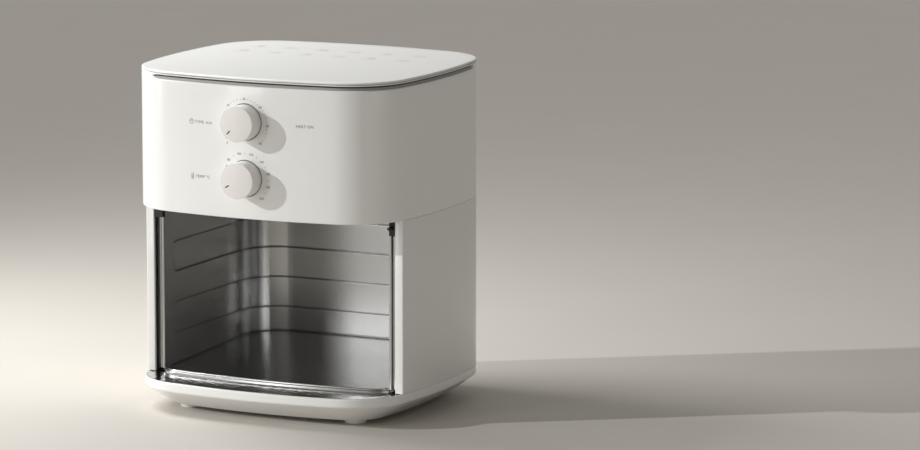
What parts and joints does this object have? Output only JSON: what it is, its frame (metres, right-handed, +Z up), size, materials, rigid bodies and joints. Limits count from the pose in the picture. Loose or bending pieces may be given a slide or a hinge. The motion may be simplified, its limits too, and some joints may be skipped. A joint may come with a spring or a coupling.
{
  "type": "air fryer body",
  "caption": "Countertop air fryer with its drawer out: white bowed casing, two dials, an air slot under the lid and an open steel-lined cavity over a polished sill.",
  "frame": {"origin": "middle of the whole box in plan, at the worktop under the feet", "axes": "+Z up, -Y towards the front with the dials and the mouth, +X to the right seen from the front"},
  "size_m": [0.2694, 0.2796, 0.31],
  "materials": {
    "white_shell": "moulded ABS with a satin gloss",
    "knob_white": "moulded ABS, soft satin",
    "black_plastic": "moulded glass-filled nylon, fine texture",
    "grille_grey": "moulded polypropylene",
    "liner_steel": "pressed stainless sheet, bright finish",
    "sill_steel": "polished stainless strip",
    "zinc_steel": "zinc plated sheet and screws",
    "pan_steel": "pressed aluminised sheet",
    "element_steel": "oxidised stainless sheath",
    "shaft_steel": "ground steel",
    "laminated_iron": "stacked laminations",
    "copper": "enamelled copper wire",
    "bronze": "sintered bronze",
    "fan_aluminium": "stamped sheet",
    "foil": "thin bright sheet",
    "ceramic_white": "unglazed",
    "fibre": "glass fibre felt",
    "switch_red": "moulded acetal",
    "lamp_amber": "neon lamp in a clear lens"
  },
  "bodies": {
    "body": {"top_cover": "white_shell", "cover_frame": "white_shell", "intake_ring": "black_plastic", "cover_screws": "zinc_steel", "upper_housing": "white_shell", "underside_panel": "black_plastic", "lower_housing": "white_shell", "rear_vent_cover": "white_shell", "vent_screws": "zinc_steel", "cord_gland": "black_plastic", "base_tray": "white_shell", "base_grilles": "grille_grey", "feet": "white_shell", "foot_screws": "zinc_steel", "sill_plate": "sill_steel", "cavity_liner": "liner_steel", "cavity_roof": "liner_steel", "opening_frame": "black_plastic", "heat_shield": "foil", "floor_insulation": "fibre", "plunger_spring": "zinc_steel", "switch_carrier": "black_plastic", "interlock_switch": "black_plastic", "chassis_plate": "zinc_steel", "housing_screws": "zinc_steel", "heater_pan": "pan_steel", "heating_element": "element_steel", "element_clips": "zinc_steel", "motor_stator": "laminated_iron", "motor_coil": "copper", "lower_end_bell": "zinc_steel", "upper_end_bell": "zinc_steel", "lower_bearing": "bronze", "upper_bearing": "bronze", "motor_bolts": "zinc_steel", "motor_mount": "zinc_steel", "mount_screws": "zinc_steel", "exhaust_duct": "pan_steel", "control_bracket": "zinc_steel", "bracket_screws": "zinc_steel", "timer_module": "grille_grey", "timer_bell": "zinc_steel", "thermostat_body": "ceramic_white", "shaft_nuts": "zinc_steel", "sensor_bulb": "copper", "capillary_tube": "copper", "indicator_lamp": "lamp_amber", "thermal_fuse": "ceramic_white", "terminal_block": "ceramic_white"},
    "time_dial": {"time_knob": "knob_white", "timer_shaft": "knob_white"},
    "temp_dial": {"temp_knob": "knob_white", "thermostat_shaft": "knob_white"},
    "rotor": {"convection_fan": "fan_aluminium", "fan_nut": "zinc_steel", "motor_shaft": "shaft_steel", "motor_rotor": "laminated_iron", "cooling_fan": "black_plastic"},
    "plunger": {"interlock_plunger": "black_plastic"},
    "button": {"switch_button": "switch_red"}
  },
  "joints": [
    {"name": "time_dial_turn", "type": "hinge", "parent": "body", "child": "time_dial", "pos_m": [0, -0.125, 0.2708], "axis": [0, 1, 0], "range_deg": [0, 270]},
    {"name": "temp_dial_turn", "type": "hinge", "parent": "body", "child": "temp_dial", "pos_m": [0, -0.125, 0.2205], "axis": [0, 1, 0], "range_deg": [0, 255]},
    {"name": "fan_spin", "type": "hinge", "parent": "body", "child": "rotor", "pos_m": [0, 0.018, 0.2], "axis": [0, 0, 1], "continuous": true},
    {"name": "plunger_press", "type": "slide", "parent": "body", "child": "plunger", "axis": [0, 1, 0], "range_m": [0, 0.003], "stiffness_N_per_m": 400, "springref_m": -0.001, "deforming": ["plunger_spring"]},
    {"name": "button_press", "type": "slide", "parent": "body", "child": "button", "axis": [0, 1, 0], "range_m": [0, 0.003]}
  ],
  "couplings": [
    {"joint": "button_press", "follows": "plunger_press", "ratio": 1}
  ]
}
